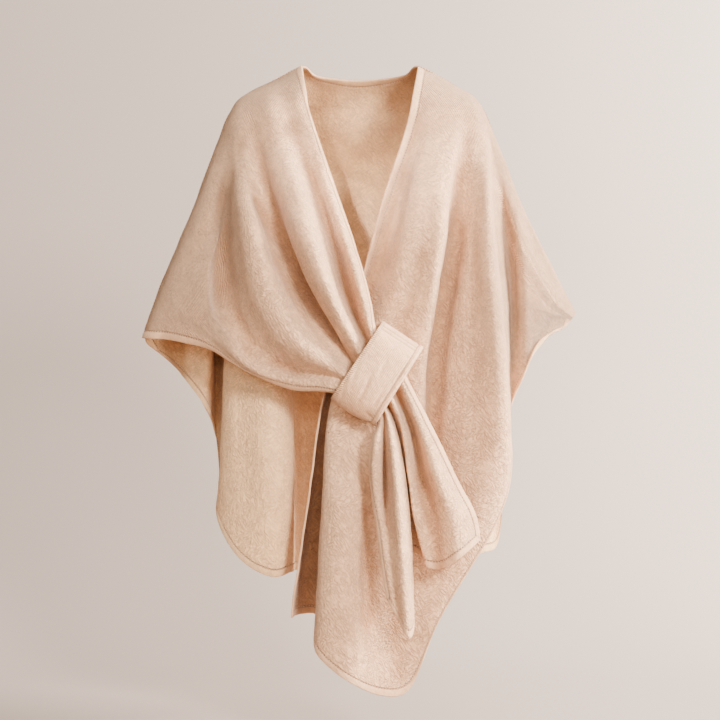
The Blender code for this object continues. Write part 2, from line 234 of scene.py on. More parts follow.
# Lines of points along each cut edge, at these distances from it: the rim, the hem and its stitching.
HEM_PLACES_MM = (0.0, 1.6, 6.0, 10.8, 12.6, 14.4, 17.2)
STITCH_LINE_MM = 12.6
STITCH_STRAY_MM = 1.2
STITCH_VALLEY_MM = 1.5
RIM_MM = 2.2
RIM_WEIGHT = 0.6
VALLEY_SHARE = 0.55
NO_EDGE_MM = 1000.0
# Above this height the cloth goes on over the arm, so its side is no cut edge there.
ARM_TIP_MM = -425.0
# The left sleeve's folds are eased out past this place along X.
SLEEVE_MM = 262.0
SLEEVE_EASE_MM = 22.0
EASE_REACH = 13
EASE_EDGE_CELLS = 9
# The nap is thin down to here below the shoulder line, and on the arms past a place along X on
# either side, from a height upwards.
SHOULDER_NAP_MM = 150.0
SHOULDER_NAP_START = 1.15
ARM_NAP_X_MM = 165.0
ARM_NAP_EASE_MM = 70.0
ARM_NAP_Z_MM = -560.0
ARM_NAP_RISE_MM = 160.0
ARM_NAP_SHARE = 0.75
# Reaches, in cells, over which the hollows of the folds are measured for the painted shade in them.
PAINTED_SHADE_REACHES = (4, 10)
PAINTED_SHADE_FULL_MM = 6.0
UNEVEN_WAVE_MM = 34.0

# Slight creases in the front view: how far each stands out, its half width, then its line (x, z).
RIGHT_CREASES = (
    ("arm_valley", -12.0, 19, (-216, -90), (-230, -160), (-238, -250), (-241, -340), (-240, -410),
     (-230, -470)),
    ("arm_crest", 3.5, 16, (-254, -220), (-272, -300), (-288, -380)),
    ("outer_crest", 9.5, 19, (-200, -120), (-202, -190), (-186, -300), (-168, -390), (-128, -455),
     (-92, -500)),
    ("high_valley", -7.5, 10, (-204, -110), (-198, -160), (-186, -210), (-156, -262), (-128, -310)),
    ("high_crest", 5.0, 12, (-150, -130), (-136, -190), (-110, -250), (-88, -300), (-66, -360)),
    ("neck_valley", -2.2, 10, (-84, -150), (-70, -210), (-52, -280)),
    ("to_loop_high", -1.8, 6, (-60, -330), (-34, -400), (-12, -440)),
    ("to_loop_low", -1.6, 7, (-190, -430), (-150, -486), (-90, -530)),
    ("over_low_ridge", 1.6, 8, (-150, -352), (-104, -428), (-60, -482)),
    ("tail_left", -1.6, 4, (44, -640), (50, -720), (62, -820)),
    ("flare_fold", 1.8, 9, (110, -640), (140, -720), (164, -790)),
)
LEFT_CREASES = (
    ("chest_valley", -19.0, 15, (182, -90), (174, -180), (164, -289), (145, -390), (129, -492),
     (123, -593), (120, -690)),
    ("chest_crest", 3.5, 15, (128, -150), (137, -221), (141, -323), (135, -420)),
    ("side_crest", 5.0, 15, (196, -140), (204, -204), (210, -289), (222, -390), (234, -492), (239, -640)),
    ("sleeve_valley", -4.0, 11, (232, -200), (248, -300), (262, -400), (262, -480)),
    ("column_ridge", 1.6, 14, (-20, -640), (-36, -760), (-44, -900)),
    ("column_hollow", -7.0, 15, (8, -660), (12, -780), (13, -900), (8, -985)),
    ("hip", 1.8, 18, (190, -520), (186, -640), (150, -780)),
    ("hem_wave", -2.0, 14, (70, -880), (60, -960), (66, -1040)),
)
BACK_CREASES = (
    ("flute_long", -2.4, 14, (-212, -480), (-214, -620), (-206, -760)),
    ("flute_swell", -26.0, 34, (-156, -450), (-153, -560), (-149, -700), (-148, -870)),
    ("recess_edge", 6.0, 9, (-116, -500), (-114, -600), (-113, -700), (-112, -820)),
    ("flute_short", 1.4, 12, (-170, -560), (-172, -700), (-168, -830)),
    ("inside_high", -1.4, 9, (-60, -70), (0, -86), (60, -76)),
    ("inside_low", 1.2, 10, (-40, -170), (30, -190)),
)
LOOP_CREASES = (
    ("near_selvage", -2.0, 2.6, (-20, -512), (-29, -546), (-34, -563)),
    ("long", -1.6, 2.6, (3, -478), (-7, -512), (-17, -546)),
    ("middle", -2.2, 3.0, (20, -512), (10, -539), (-5, -568)),
    ("short", -1.4, 2.6, (44, -492), (30, -526)),
    ("low", -2.0, 3.0, (39, -546), (20, -573)),
    ("tuck", -3.4, 3.4, (6, -578), (22, -592)),
)
LOOP_LENGTH_MM = 155.0
LOOP_FOOT_BOW = 0.035
LOOP_RIM_MM = 7.0
LOOP_RIM_LIFT_MM = 1.7
LOOP_SELVAGE_MM = 8.0
LOOP_SELVAGE_EASE_MM = 1.5
LOOP_TOP_LINES_MM = (5.5, 11.0)
# The top lines start so far from the near edge, and all lines on these rows or columns of points.
LOOP_TOP_FROM_MM = 4.0
LOOP_FIRST_ROW = 5
LOOP_FIRST_COLUMN = 2
LOOP_VALLEY_MM = 1.1
LOOP_VALLEY_DEPTH_MM = 1.4
# The foot's shade begins at a share of the length, and is full at the foot.
LOOP_FOOT_SHADE = 0.8
LOOP_FOOT_FROM = 0.6
WELD_M = 0.00001

SENSOR_MM = 36.0
VIEW_WIDTH_M = 1.2168

FLOOR_Z_M = -1.12
FLOOR_NEAR_M = -4.5
WALL_Y_M = 1.5
WALL_TOP_M = 3.0
COVE_M = 0.9
COVE_STEPS = 25
STAGE_HALF_M = 4.0
AIR_COLOUR = (1.0, 0.98, 0.96)
AIR_STRENGTH = 0.22
# Round soft boxes: name, place, aim, width, power, and spread in degrees.
LIGHTS = (
    ("side_key", (2.7, -0.6, 0.5), (0.0, 0.0, -0.4), 1.2, 470.0, 180.0),
    ("front", (0.2, -4.3, 0.3), (0.0, 0.0, -0.5), 1.6, 48.0, 180.0),
    ("front_right", (1.75, -3.5, 0.8), (0.0, 0.0, -0.5), 0.9, 312.0, 180.0),
    ("front_high", (0.0, -3.2, 2.4), (0.0, 0.0, -0.4), 1.6, 32.0, 180.0),
    ("left_fill", (-1.5, -3.8, 0.7), (0.0, 0.0, -0.4), 1.2, 52.0, 180.0),
    ("top", (0.0, -0.3, 2.4), (0.0, 0.0, -0.4), 1.5, 55.0, 180.0),
    ("wall_low", (1.8, 0.9, 0.0), (1.0, 1.5, -0.2), 0.8, 72.0, 180.0),
    ("wall_high", (1.7, 0.7, 0.8), (0.9, 1.5, 0.2), 0.8, 60.0, 180.0),
    ("neck_beam", (-0.38, -1.9, 0.1), (0.036, 0.08, -0.21), 0.14, 0.36, 10.0),
)

# Relief and rib pitches of the knit and of the loop, and the way across the ribs on the cloth.
KNIT_RELIEF_MM = 2.0
LOOP_RELIEF_MM = 2.2
KNIT_RIB_M = 0.0034
LOOP_RIB_M = 0.0030
SLANTED = (0.66, -0.75, 0.0)
LOOP_ACROSS = (1.0, 0.0, 0.0)
LOOP_ALONG = (0.0, 1.0, 0.0)

# Places of the sockets in a Mix node for colours.
MIX_SHARE, MIX_FIRST, MIX_SECOND, MIX_RESULT = 0, 6, 7, 2
FULL_TURN = 2 * math.pi


def length_property(name, description, default, least):
    return bpy.props.FloatProperty(
        name=name, description=description, default=default, min=least, unit="LENGTH"
    )


def colour_property(name, description, default):
    return bpy.props.FloatVectorProperty(
        name=name, description=description, default=default, subtype="COLOR", size=3, min=0.0, max=1.0
    )


class CardiganSizes(bpy.types.PropertyGroup):
    """Sizes of the worn cloth and of its sewing."""

    wall: length_property(
        "Cloth thickness", "Thickness of the brushed knit away from its hems", WALL_MM * MM, 0.001
    )
    hem_lift: length_property(
        "Hem thickness", "How much thicker the turned hem is than the knit", 0.0011, 0.0
    )
    loop_wall: length_property(
        "Loop thickness", "Thickness of the doubled strip of the belt loop", LOOP_WALL_MM * MM, 0.001
    )
    stitch_length: length_property("Stitch length", "Length of one top stitch that shows", 0.0032, 0.001)
    stitch_gap: length_property("Stitch gap", "Gap from one top stitch to the next", 0.0018, 0.0005)
    thread_radius: length_property("Thread radius", "Radius of the sewing thread", 0.00062, 0.0001)
    unevenness: length_property(
        "Unevenness", "How far the soft knit swells and dips by itself", 0.0011, 0.0
    )


class CardiganColours(bpy.types.PropertyGroup):
    """Colours of the heathered knit, its painted shade, its thread and the stage."""

    light: colour_property("Light yarn", "The lighter yarn of the heather", (0.84, 0.468, 0.245))
    dark: colour_property("Dark yarn", "The darker yarn of the heather", (0.55, 0.29, 0.155))
    # The fleck colour is also the colour that painted shade darkens the yarn towards.
    fleck: colour_property("Fleck", "Short flecks brushed up out of the yarn", (0.20, 0.105, 0.06))
    # Tint of the painted shade, multiplied into the yarn deep in the folds and at the loop's foot.
    painted_shade: colour_property("Painted shade tint", "Tint of the painted shade in the folds", (0.60, 0.52, 0.45))
    # Lighter than the outer yarn: partly the inner face's own paler tone, partly painted light for the lit
    # inside of the neck.
    inside: colour_property("Inside yarn", "The lighter yarn on the inner face", (0.98, 0.57, 0.265))
    thread: colour_property("Thread", "The sewing thread", (0.78, 0.44, 0.24))
    backdrop: colour_property("Backdrop", "The pale studio floor and wall", (0.34, 0.265, 0.215))


def placed(x, y, z):
    """The true place, in mm, of what the front view shows at (x, z) when it lies at the depth y."""
    near = 1 + np.asarray(y, float) / SIGHT_MM
    return np.stack([x * near, y + 0 * near, EYE_MM + (z - EYE_MM) * near], axis=-1)


def through(knots, steps):
    """A smooth line through the knots, rows of points on the second last axis, in so many steps each."""
    knots = np.asarray(knots, float)
    chord = np.diff(knots, axis=-2)
    gap = np.sqrt(np.linalg.norm(chord, axis=-1, keepdims=True)) + 1e-6
    rate = chord / gap
    early, late = gap[..., :-1, :], gap[..., 1:, :]
    inner = (rate[..., :-1, :] * late + rate[..., 1:, :] * early) / (early + late)
    first = 1.5 * rate[..., :1, :] - 0.5 * inner[..., :1, :]
    last = 1.5 * rate[..., -1:, :] - 0.5 * inner[..., -1:, :]
    slope = np.concatenate([first, inner, last], axis=-2)
    found = [knots[..., :1, :]]
    for i, count in enumerate(steps):
        t = np.arange(1, count + 1)[:, None] / count
        a, b = knots[..., i : i + 1, :], knots[..., i + 1 : i + 2, :]
        pull_a = slope[..., i : i + 1, :] * gap[..., i : i + 1, :]
        pull_b = slope[..., i + 1 : i + 2, :] * gap[..., i : i + 1, :]
        found.append(
            (2 * t**3 - 3 * t**2 + 1) * a
            + (t**3 - 2 * t**2 + t) * pull_a
            + (3 * t**2 - 2 * t**3) * b
            + (t**3 - t**2) * pull_b
        )
    return np.concatenate(found, axis=-2)


def reach_along(line):
    """How far each point of a line lies from its first one."""
    steps = np.linalg.norm(np.diff(line, axis=0), axis=1)
    return np.concatenate([[0], np.cumsum(steps)])


def evenly(knots, anchors, rows):
    """Points along the smooth line through the knots, in even rows between one anchor knot and the next."""
    line = through(knots, [FINE_STEPS] * (len(knots) - 1))
    reach = reach_along(line)
    wanted = [np.zeros(1)]
    for low, high, count in zip(anchors[:-1], anchors[1:], rows):
        ends = reach[low * FINE_STEPS], reach[high * FINE_STEPS]
        wanted.append(np.linspace(*ends, count + 1)[1:])
    wanted = np.concatenate(wanted)
    return np.stack([np.interp(wanted, reach, line[:, axis]) for axis in range(3)], axis=1)


def shoulder_line(side):
    lines = np.array(SHOULDER_LINES, float)
    line = lines[:, :2] if side == "right" else lines[:, 2:]
    return line, reach_along(line)


def on_shoulder(side, share):
    """(x, z) in the front view of a place on the shoulder line, 0 at the neck and 1 at the arm's end."""
    line, reach = shoulder_line(side)
    return [np.interp(share * reach[-1], reach, line[:, axis]) for axis in range(2)]


def over_shoulder(side, share, y, station):
    """The start of a fold: it leaves the shoulder line level and turns down in a quarter of an ellipse."""
    x, z = on_shoulder(side, share)
    foot_x, foot_y, foot_z = station
    found = []
    for angle in np.radians(ARC_TURNS):
        drop = 1 - np.cos(angle)
        found.append(
            placed(
                x + (foot_x - x) * drop,
                y + (foot_y - y) * np.sin(angle),
                z + (foot_z - z) * drop,
            )
        )
    return found


def over_neck(along, station):
    """The start of a fold of the back: steep at the neck's middle, as over the shoulder at its ends."""
    turn = along / NECK_HALF_MM * np.pi / 2
    x = NECK_HALF_MM * np.sin(turn)
    z = -NECK_DROP_MM + (NECK_DROP_MM + 4) * (1 - np.cos(turn))
    y = SEAM_MM / 2 + NECK_BACK_MM * np.cos(turn)
    foot_x, foot_y, foot_z = station
    found = []
    for angle in np.radians(ARC_TURNS):
        drop = 1 - np.cos(angle)
        back = drop**0.7 + (np.sin(angle) - drop**0.7) * np.sin(turn) ** 2
        found.append(
            placed(x + (foot_x - x) * drop, y + (foot_y - y) * back, z + (foot_z - z) * drop)
        )
    return found


def rows_of(counts):
    return tuple(count * FINER for count in counts)


def fold_line(start, stations, rows):
    """A fold's points: from the shoulder line down through its stations, in even rows."""
    knots = start + [placed(*station) for station in stations]
    anchors = (0, 1, 2, 3, len(knots) - 1)
    return evenly(knots, anchors, rows_of((*ARC_ROWS, rows)))


def across(folds):
    """The cloth's points from its fold lines, in columns fine enough for its folds."""
    folds = np.stack(folds, axis=1)
    widths = np.linalg.norm(np.diff(folds, axis=1), axis=2)
    steps = np.maximum(2, np.round(np.percentile(widths, 75, axis=0) / PITCH_MM)).astype(int)
    return through(folds, steps * FINER)


def back_points():
    folds = []
    for _, along, *stations in BACK_FOLDS:
        if abs(along) <= NECK_HALF_MM:
            start = over_neck(along, stations[0])
        else:
            side = "right" if along < 0 else "left"
            share = (abs(along) - NECK_HALF_MM) / shoulder_line(side)[1][-1]
            start = over_shoulder(side, share, SEAM_MM / 2, stations[0])
        folds.append(fold_line(start, stations, BACK_ROWS))
    points = across(folds)
    top = SHOULDER_ROWS * FINER
    points[:top, :, 1] = np.maximum(points[:top, :, 1], SEAM_MM / 2)
    return points


def left_front_points():
    folds = []
    for _, share, *stations in LEFT_FOLDS:
        start = over_shoulder("left", share, -SEAM_MM / 2, stations[0])
        folds.append(fold_line(start, stations, LEFT_ROWS))
    return across(folds)


def in_loop(share, y, over):
    """A place in the loop: a share of its length from the top end, and of its width from the entry."""
    top = np.array(LOOP_TOP, float)
    foot = np.array(LOOP_FOOT, float)
    near = top[0] + (foot[0] - top[0]) * share
    far = top[1] + (foot[1] - top[1]) * share
    x, z = near + (far - near) * over
    forward = np.clip((LOOP_BEHIND_Y - y) / (LOOP_BEHIND_Y - LOOP_FRONT_Y), 0, 1)
    bow = LOOP_BOW_MM * (2 * over - 1) ** 2
    return placed(x, y + forward * bow, z)


def right_front_points():
    folds = []
    for above, below in zip(RIGHT_FOLDS, TAIL_FOLDS):
        _, share, *stations = above
        _, goes_in, comes_out, y, *tail = below
        start = over_shoulder("right", share, -SEAM_MM / 2, stations[0])
        knots = start + [placed(*station) for station in stations]
        into = len(knots)
        for over in (0.0, 0.5, 1.0):
            knots.append(in_loop(goes_in + (comes_out - goes_in) * over, y, over))
        knots += [placed(*station) for station in tail]
        anchors = (0, 1, 2, 3, into, into + 2, len(knots) - 1)
        rows = rows_of((*ARC_ROWS, ABOVE_ROWS, LOOP_ROWS, TAIL_ROWS))
        folds.append(evenly(knots, anchors, rows))
    return across(folds)


def lengths_down(points):
    """How far each point lies from the first row, along its own column."""
    steps = np.linalg.norm(np.diff(points, axis=0), axis=2)
    return np.concatenate([np.zeros((1, points.shape[1])), np.cumsum(steps, axis=0)])


def with_hem_rows(points, at_start, at_end):
    """The points moved along their columns, with rows added at the hem's places from either edge."""
    reach = lengths_down(points)
    total = reach[-1]
    places = np.array(HEM_PLACES_MM)[:, None] * np.ones_like(total)
    low = places[-1] if at_start else np.zeros_like(total)
    high = total - (places[-1] if at_end else 0)
    rows = [places[:-1]] if at_start else []
    rows.append(low + (high - low) * reach / total)
    if at_end:
        rows.append(total - places[-2::-1])
    wanted = np.concatenate(rows)
    found = np.empty((*wanted.shape, 3))
    for column in range(wanted.shape[1]):
        for axis in range(3):
            found[:, column, axis] = np.interp(
                wanted[:, column], reach[:, column], points[:, column, axis]
            )
    return found


def turned(points):
    return points.transpose(1, 0, 2)


def edge_measures(points, top_is_cut, folded_above=(NO_EDGE_MM, NO_EDGE_MM)):
    """For each point, its place down and across, and how far from and along the nearest cut edge.

    A side is no cut edge higher than folded_above, where the cloth goes on over the arm.
    """
    down = lengths_down(points)
    over = lengths_down(turned(points)).T
    near = np.where(points[:, :1, 2] > folded_above[0], NO_EDGE_MM, over)
    far = np.where(points[:, -1:, 2] > folded_above[1], NO_EDGE_MM, over[:, -1:] - over)
    from_side = np.minimum(near, far)
    from_top = np.where(top_is_cut, down, NO_EDGE_MM)
    from_end = np.minimum(down[-1] - down, from_top)
    from_edge = np.minimum(from_side, from_end)
    along_edge = np.where(from_side < from_end, down, over)
    return down, over, from_edge, along_edge


def facing(points, way_y):
    """Unit normals of the cloth, on the side that mostly looks along the sign of way_y."""
    down = np.gradient(points, axis=0)
    over = np.gradient(points, axis=1)
    found = np.cross(down, over)
    found /= np.linalg.norm(found, axis=2, keepdims=True) + 1e-9
    return found if found[:, :, 1].mean() * way_y > 0 else -found


def from_line(points, line):
    """Distance of each point from a line in the front view, and its share of the line's length."""
    near = 1 + points[:, :, 1] / SIGHT_MM
    seen = np.stack([points[:, :, 0] / near, EYE_MM + (points[:, :, 2] - EYE_MM) / near], axis=2)
    line = np.array(line, float)
    reach = reach_along(line)
    best = np.full(points.shape[:2], np.inf)
    share = np.zeros(points.shape[:2])
    for i, (a, b) in enumerate(zip(line[:-1], line[1:])):
        way = b - a
        t = np.clip(((seen - a) @ way) / (way @ way), 0, 1)
        away = np.linalg.norm(seen - a - t[:, :, None] * way, axis=2)
        nearer = away < best
        best = np.where(nearer, away, best)
        share = np.where(nearer, (reach[i] + t * (reach[i + 1] - reach[i])) / reach[-1], share)
    return best, share


def creased(points, creases, way_y):
    """The cloth with its slight creases, each fading out at both its ends."""
    outward = facing(points, way_y)
    lift = np.zeros(points.shape[:2])
    for _, depth, half_width, *line in creases:
        away, share = from_line(points, line)
        fade = np.sin(np.pi * np.clip(share, 0.02, 0.98)) ** 0.7
        ahead = np.clip(-outward[:, :, 1] * 2, 0, 1) if way_y < 0 else 1
        lift += depth * fade * ahead * np.exp(-((away / half_width) ** 2))
    return points + outward * lift[:, :, None]


def uneven(points, way_y, seed, lift_mm, wave_mm):
    """The cloth with the slight unevenness of a soft knit, over waves of about wave_mm."""
    shift = Vector((seed, 0.37 * seed, -0.61 * seed))
    flat = (points / wave_mm).reshape(-1, 3)
    rise = np.array([noise.noise(Vector(place) + shift) for place in flat])
    outward = facing(points, way_y)
    return points + outward * (rise.reshape(points.shape[:2]) * lift_mm)[:, :, None]


def averaged(points, reach):
    """The points averaged over so many cells each way, the edges held by repeating them."""
    kernel = np.ones(2 * reach + 1) / (2 * reach + 1)
    padded = np.pad(points, ((reach, reach), (reach, reach), (0, 0)), mode="edge")
    rows = np.apply_along_axis(np.convolve, 0, padded, kernel, "valid")
    return np.apply_along_axis(np.convolve, 1, rows, kernel, "valid")


def softened(points, beyond_mm):
    """The cloth with its folds eased out over the sleeve, past a place along X, but not at its edges."""
    rows, columns, _ = points.shape
    row, column = np.indices((rows, columns))
    inside = np.minimum(np.minimum(row, rows - 1 - row), np.minimum(column, columns - 1 - column))
    share = np.clip((points[:, :, 0] - beyond_mm) / SLEEVE_EASE_MM, 0, 1)
    share *= np.clip(inside / EASE_EDGE_CELLS, 0, 1)
    eased = averaged(averaged(points, EASE_REACH), EASE_REACH)
    return points + (eased - points) * share[:, :, None]


def painted_fold_shade(points, outward):
    """Painted shade, from 0 on ridges and flats to 1 deep in a fold, where shade falls."""
    deep = np.zeros(points.shape[:2])
    for reach in PAINTED_SHADE_REACHES:
        deep += ((averaged(points, reach) - points) * outward).sum(axis=2)
    return np.clip(deep / PAINTED_SHADE_FULL_MM, 0, 1)


def add_field(mesh, name, values):
    field = mesh.attributes.new(name, "FLOAT", "POINT")
    field.data.foreach_set("value", np.asarray(values, np.float32).ravel())


def cloth_mesh(name, points, fields, places, way_y):
    """A mesh of the cloth's points in metres, with its fields and with places across and down as UVs."""
    rows, columns, _ = points.shape
    index = np.arange(rows * columns).reshape(rows, columns)
    corners = [index[:-1, :-1], index[1:, :-1], index[1:, 1:], index[:-1, 1:]]
    faces = np.stack(corners, axis=2).reshape(-1, 4)
    normals = np.cross(np.gradient(points, axis=0), np.gradient(points, axis=1))
    if normals[:, :, 1].mean() * way_y < 0:
        faces = faces[:, ::-1]
    mesh = bpy.data.meshes.new(name)
    mesh.from_pydata((points * MM).reshape(-1, 3).tolist(), [], faces.tolist())
    for field, values in fields.items():
        add_field(mesh, field, values)
    layer = mesh.uv_layers.new(name="cloth")
    corner_points = np.empty(len(mesh.loops), np.int32)
    mesh.loops.foreach_get("vertex_index", corner_points)
    flat_places = (places * MM).reshape(-1, 2)[corner_points]
    layer.data.foreach_set("uv", flat_places.astype(np.float32).ravel())
    mesh.shade_smooth()
    return mesh


class Value:
    """A value that varies over a surface; signs between two of them make Math nodes."""

    def __init__(self, tree, socket):
        self.tree = tree
        self.socket = socket

    def by(self, operation, *others):
        inputs = dict(enumerate((self, *others)))
        return output(self.tree, "ShaderNodeMath", 0, inputs, operation=operation)

    def __add__(self, other):
        return self.by("ADD", other)

    def __sub__(self, other):
        return self.by("SUBTRACT", other)

    def __rsub__(self, other):
        return self * -1.0 + other

    def __mul__(self, other):
        return self.by("MULTIPLY", other)

    def __truediv__(self, other):
        return self.by("DIVIDE", other)


def feed(tree, node, inputs):
    """Gives a node its inputs: a link from a value, or a plain number, place or colour."""
    for name, given in inputs.items():
        if isinstance(given, Value):
            tree.links.new(given.socket, node.inputs[name])
        else:
            node.inputs[name].default_value = given


def add(tree, kind, inputs=None, **settings):
    """A shader node with its settings and inputs."""
    made = tree.nodes.new(kind)
    for setting, given in settings.items():
        setattr(made, setting, given)
    feed(tree, made, inputs or {})
    return made


def output(tree, kind, name, inputs=None, **settings):
    """The value that one output of a new shader node gives."""
    return Value(tree, add(tree, kind, inputs, **settings).outputs[name])


def stepped(value, low, high):
    """A value eased from 0 at low to 1 at high."""
    inputs = {"Value": value, "From Min": low, "From Max": high}
    return output(value.tree, "ShaderNodeMapRange", "Result", inputs, interpolation_type="SMOOTHSTEP")


def noise_of(place, scale, detail=3.0, roughness=0.55, distortion=0.0):
    inputs = {
        "Vector": place,
        "Scale": scale,
        "Detail": detail,
        "Roughness": roughness,
        "Distortion": distortion,
    }
    return output(place.tree, "ShaderNodeTexNoise", "Fac", inputs)


def blended(share, first, second, blend_type="MIX"):
    """A colour mixed from two, by a share from 0 to 1."""
    inputs = {MIX_SHARE: share, MIX_FIRST: first, MIX_SECOND: second}
    return output(
        share.tree, "ShaderNodeMix", MIX_RESULT, inputs, data_type="RGBA", blend_type=blend_type
    )


def brushed(place, angle, long_scale, short_scale):
    """The place stretched along a brushing direction, an angle from level in the front view."""
    turn = {"Vector": place, "Rotation": (0.0, math.radians(angle), 0.0)}
    turned_place = output(place.tree, "ShaderNodeMapping", 0, turn, vector_type="POINT")
    stretch = {"Vector": turned_place, "Scale": (long_scale, short_scale, short_scale)}
    return output(place.tree, "ShaderNodeMapping", 0, stretch, vector_type="POINT")


def new_group(name, inputs, outputs):
    """An empty shader group; returns it with its given values and its output node."""
    group = bpy.data.node_groups.new(name, "ShaderNodeTree")
    for label, kind, default in inputs:
        socket = group.interface.new_socket(label, in_out="INPUT", socket_type=kind)
        if default is not None:
            socket.default_value = default
    for label, kind in outputs:
        group.interface.new_socket(label, in_out="OUTPUT", socket_type=kind)
    source = group.nodes.new("NodeGroupInput")
    given = {socket.name: Value(group, socket) for socket in source.outputs}
    return group, given, group.nodes.new("NodeGroupOutput")


def heather_group():
    """Two yarns mixed in soft patches and in grain, with short brushed flecks of a darker one."""
    group, given, made = new_group(
        "heather",
        (
            ("Place", "NodeSocketVector", None),
            ("Light", "NodeSocketColor", None),
            ("Dark", "NodeSocketColor", None),
            ("Fleck", "NodeSocketColor", None),
            ("Patches", "NodeSocketFloat", 0.5),
            ("Flecks", "NodeSocketFloat", 0.5),
        ),
        (("Color", "NodeSocketColor"),),
    )
    place = given["Place"]
    patch = stepped(noise_of(place, 30.0, 5.0, 0.66, 0.5), 0.34, 0.72)
    mottle = noise_of(place, 95.0, 3.0, 0.6, 0.5) * 0.9 - 0.42
    grain = noise_of(place, 420.0, 2.0, 0.6) * 0.5 - 0.25
    strands = noise_of(brushed(place, -52.0, 60.0, 330.0), 1.0, 3.0, 0.6, 0.5) * 1.1 - 0.50
    share = patch * given["Patches"] + mottle + grain + strands
    share = share.by("MAXIMUM", 0.0).by("MINIMUM", 1.0)
    yarn = blended(share, given["Light"], given["Dark"])
    first = noise_of(brushed(place, -48.0, 90.0, 420.0), 1.0, 2.0, 0.5, 0.4)
    second = noise_of(brushed(place, 40.0, 95.0, 460.0), 1.0, 2.0, 0.5, 0.4)
    where = stepped(noise_of(place, 38.0), 0.46, 0.62) * 0.8 + 0.2
    fleck = stepped(first.by("MAXIMUM", second), 0.64, 0.72) * where * given["Flecks"]
    feed(group, made, {"Color": blended(fleck, yarn, given["Fleck"])})
    return group


def nap_group():
    """Height, in mm, of a nap brushed into short slanting strokes, over a fine fuzz, and the painted shade
    in the strokes' creases.
    """
    group, given, made = new_group(
        "brushed nap",
        (("Place", "NodeSocketVector", None), ("Strokes", "NodeSocketFloat", 1.0)),
        (("Height", "NodeSocketFloat"), ("Painted crease shade", "NodeSocketFloat")),
    )
    place = given["Place"]
    ridges = []
    for angle, long_scale, short_scale in ((-52.0, 66.0, 215.0), (30.0, 72.0, 240.0)):
        wave = noise_of(brushed(place, angle, long_scale, short_scale), 1.0, 2.0, 0.5, 0.12)
        ridges.append(stepped((wave - 0.5).by("ABSOLUTE"), 0.0, 0.13))
    side = stepped(noise_of(place, 30.0, 2.0), 0.42, 0.58)
    stroke = ridges[0] * side + ridges[1] * (1.0 - side)
    some = stepped(noise_of(place, 26.0, 3.0, 0.6), 0.18, 0.5)
    strength = some * given["Strokes"] * 0.62
    broad = noise_of(place, 105.0, 3.0, 0.55, 0.4) * 1.5
    fuzz = noise_of(place, 1300.0, 2.0, 0.7) * 0.22
    feed(group, made, {"Height": stroke * strength + broad + fuzz, "Painted crease shade": (1.0 - stroke) * some})
    return group


def rib_group():
    """Height of fine slanting ribs of the knit, a pitch apart in the cloth's own places."""
    group, given, made = new_group(
        "fine ribs",
        (
            ("Cloth", "NodeSocketVector", None),
            ("Pitch", "NodeSocketFloat", 0.0025),
            ("Slant", "NodeSocketVector", None),
        ),
        (("Height", "NodeSocketFloat"),),
    )
    wobble = noise_of(given["Cloth"], 60.0, 2.0) * 1.2
    ways = {0: given["Cloth"], 1: given["Slant"]}
    across_ribs = output(group, "ShaderNodeVectorMath", "Value", ways, operation="DOT_PRODUCT")
    wave = ((across_ribs / given["Pitch"] + wobble) * FULL_TURN).by("SINE")
    feed(group, made, {"Height": wave * 0.5 + 0.5})
    return group


def hem_group():
    """The turned hem: its fine cross ribs, the valley that the stitching pulls in, and the painted shade,
    dotted, in that valley.
    """
    group, given, made = new_group(
        "turned hem",
        (
            ("From edge", "NodeSocketFloat", 1.0),
            ("Along edge", "NodeSocketFloat", 0.0),
            ("Stitch line", "NodeSocketFloat", STITCH_LINE_MM * MM),
            ("Pucker pitch", "NodeSocketFloat", 0.0050),
            ("Rib pitch", "NodeSocketFloat", 0.0021),
        ),
        (("Height", "NodeSocketFloat"), ("Band", "NodeSocketFloat"), ("Painted valley shade", "NodeSocketFloat")),
    )
    past = given["From edge"] - given["Stitch line"]
    beside = past.by("ABSOLUTE")
    valley = 1.0 - stepped(beside, 0.0004, 0.0021)
    near = 1.0 - stepped(beside, 0.001, 0.006)
    band = 1.0 - stepped(past, -0.0008, 0.0006)
    pucker = (given["Along edge"] / given["Pucker pitch"] * FULL_TURN).by("SINE")
    rib = (given["Along edge"] / given["Rib pitch"] * FULL_TURN).by("SINE")
    height = valley * -0.9 + pucker * near * 0.10 + rib * band * 0.10
    painted_stitch_shade = valley * (pucker * 0.4 + 0.6)
    feed(group, made, {"Height": height, "Band": band, "Painted valley shade": painted_stitch_shade})
    return group


def placed_group(tree, name, build, inputs):
    """The outputs of the shader group of that name, built once, placed with its own inputs."""
    group = bpy.data.node_groups.get(name) or build()
    made = add(tree, "ShaderNodeGroup", node_tree=group)
    feed(tree, made, inputs)
    return {socket.name: Value(tree, socket) for socket in made.outputs}


def field_of(tree, name):
    return output(tree, "ShaderNodeAttribute", "Fac", attribute_name=name, attribute_type="GEOMETRY")


def opaque(colour):
    return (*colour, 1.0)


def new_material(name):
    """A material with its tree, its shader and the place in the object."""
    material = bpy.data.materials.new(name)
    material.use_nodes = True
    tree = material.node_tree
    place = output(tree, "ShaderNodeTexCoord", "Object")
    return material, tree, tree.nodes["Principled BSDF"], place


def heathered(tree, place, colours, light, patches, flecks):
    inputs = {
        "Place": place,
        "Light": opaque(light),
        "Dark": opaque(colours.dark),
        "Fleck": opaque(colours.fleck),
        "Patches": patches,
        "Flecks": flecks,
    }
    return placed_group(tree, "heather", heather_group, inputs)["Color"]


def brushed_nap(tree, place, strokes):
    nap = placed_group(tree, "brushed nap", nap_group, {"Place": place, "Strokes": strokes})
    return nap["Height"], nap["Painted crease shade"]


def ribbed(tree, pitch, slant):
    cloth = output(tree, "ShaderNodeUVMap", "UV", uv_map="cloth")
    inputs = {"Cloth": cloth, "Pitch": pitch, "Slant": slant}
    return placed_group(tree, "fine ribs", rib_group, inputs)["Height"]


